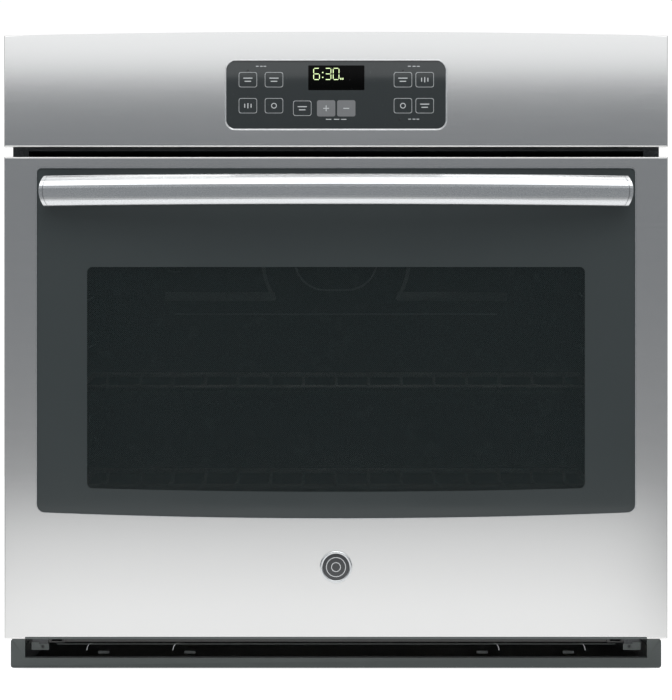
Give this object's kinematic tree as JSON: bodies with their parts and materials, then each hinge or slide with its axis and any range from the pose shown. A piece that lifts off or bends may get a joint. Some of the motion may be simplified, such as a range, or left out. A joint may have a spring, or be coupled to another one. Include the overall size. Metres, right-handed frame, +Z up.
{
  "type": "built-in wall oven",
  "caption": "Built-in single wall oven with a stainless front: touch control panel, drop-down door with a large dark window and bowed bar handle, wire racks on side ledges, vented base trim.",
  "frame": {"origin": "centre of the bottom of the oven's bounding box, on the plane that the base pan rests on", "axes": "+X to the right for someone facing the front, +Y into the cabinet (the front faces -Y), +Z up"},
  "size_m": [0.7556, 0.679, 0.727],
  "materials": {
    "stainless": "satin",
    "bright_steel": "satin",
    "galvanised": "satin",
    "spring_steel": "satin",
    "grey_paint": "satin",
    "black_paint": "satin",
    "enamel": "gloss",
    "black_glass": "gloss",
    "clear_glass": "gloss",
    "frosted_glass": "satin",
    "nickel": "satin",
    "element_sheath": "matte",
    "fibreglass": "matte",
    "gasket_braid": "matte",
    "circuit_green": "satin",
    "moulded_black": "satin",
    "ceramic": "satin"
  },
  "bodies": {
    "chassis": {"base_pan": "galvanised", "side_panel_left": "galvanised", "side_panel_right": "galvanised", "back_panel": "galvanised", "top_panel": "galvanised", "front_frame": "enamel", "bottom_trim": "grey_paint", "trim_bracket_left": "grey_paint", "trim_bracket_right": "grey_paint", "cavity_liner": "enamel", "cavity_insulation": "fibreglass", "door_gasket": "gasket_braid", "broil_element": "element_sheath", "bake_element": "element_sheath", "light_socket": "ceramic", "light_bulb": "frosted_glass", "light_lens": "clear_glass", "temperature_probe": "bright_steel", "control_panel": "stainless", "control_glass": "black_glass", "display_module": "moulded_black", "control_carrier": "moulded_black", "control_board": "circuit_green", "air_duct": "galvanised", "blower_housing": "galvanised", "blower_motor": "black_paint", "vent_tube": "galvanised", "terminal_block": "ceramic", "conduit_gland": "galvanised", "light_switch": "moulded_black", "hinge_arm_left": "spring_steel", "hinge_arm_right": "spring_steel", "hinge_receiver_left": "galvanised", "hinge_receiver_right": "galvanised"},
    "door": {"door_skin": "stainless", "door_outer_glass": "black_glass", "glass_retainer": "galvanised", "door_middle_glass": "clear_glass", "door_inner_glass": "clear_glass", "door_liner": "enamel", "door_insulation": "fibreglass", "door_top_channel": "black_paint", "badge": "bright_steel", "handle_bar": "bright_steel", "handle_end_left": "bright_steel", "handle_end_right": "bright_steel", "handle_screw_left": "galvanised", "handle_screw_right": "galvanised", "hinge_channel_left": "galvanised", "hinge_channel_right": "galvanised", "hinge_pin_left": "spring_steel", "hinge_pin_right": "spring_steel", "hinge_spring_left": "spring_steel", "hinge_spring_right": "spring_steel"},
    "left_hinge_rod": {"hinge_rod_left": "spring_steel"},
    "right_hinge_rod": {"hinge_rod_right": "spring_steel"},
    "lower_rack": {"rack_lower": "nickel"},
    "upper_rack": {"rack_upper": "nickel"},
    "blower_impeller": {"blower_wheel": "galvanised"},
    "switch_plunger": {"light_switch_plunger": "frosted_glass"}
  },
  "joints": [
    {"name": "door_hinge", "type": "hinge", "parent": "chassis", "child": "door", "pos_m": [0, -0.272, 0.0442], "axis": [1, 0, 0], "range_deg": [0, 90], "stiffness_Nm_per_rad": 12.7, "springref_deg": -17.99},
    {"name": "upper_rack_slide", "type": "slide", "parent": "chassis", "child": "upper_rack", "axis": [0, -1, 0], "range_m": [0, 0.2502]},
    {"name": "lower_rack_slide", "type": "slide", "parent": "chassis", "child": "lower_rack", "axis": [0, -1, 0], "range_m": [0, 0.2502]},
    {"name": "light_switch_travel", "type": "slide", "parent": "chassis", "child": "switch_plunger", "axis": [0, -1, 0], "range_m": [0, 0.0061]},
    {"name": "left_hinge_rod_slide", "type": "slide", "parent": "door", "child": "left_hinge_rod", "axis": [0, 0, -1], "range_m": [0, 0.0201], "deforming": ["hinge_spring_left"]},
    {"name": "right_hinge_rod_slide", "type": "slide", "parent": "door", "child": "right_hinge_rod", "axis": [0, 0, -1], "range_m": [0, 0.0201], "deforming": ["hinge_spring_right"]},
    {"name": "blower_spin", "type": "hinge", "parent": "chassis", "child": "blower_impeller", "pos_m": [0, 0.1715, 0.632], "axis": [0, 0, 1], "continuous": true}
  ],
  "couplings": [
    {"joint": "upper_rack_slide", "follows": "door_hinge", "m_per_rad": 0.15915},
    {"joint": "lower_rack_slide", "follows": "door_hinge", "m_per_rad": 0.15915},
    {"joint": "light_switch_travel", "follows": "door_hinge", "m_per_rad": 0.00382},
    {"joint": "left_hinge_rod_slide", "follows": "door_hinge", "m_per_rad": 0.012732},
    {"joint": "right_hinge_rod_slide", "follows": "door_hinge", "m_per_rad": 0.012732}
  ]
}
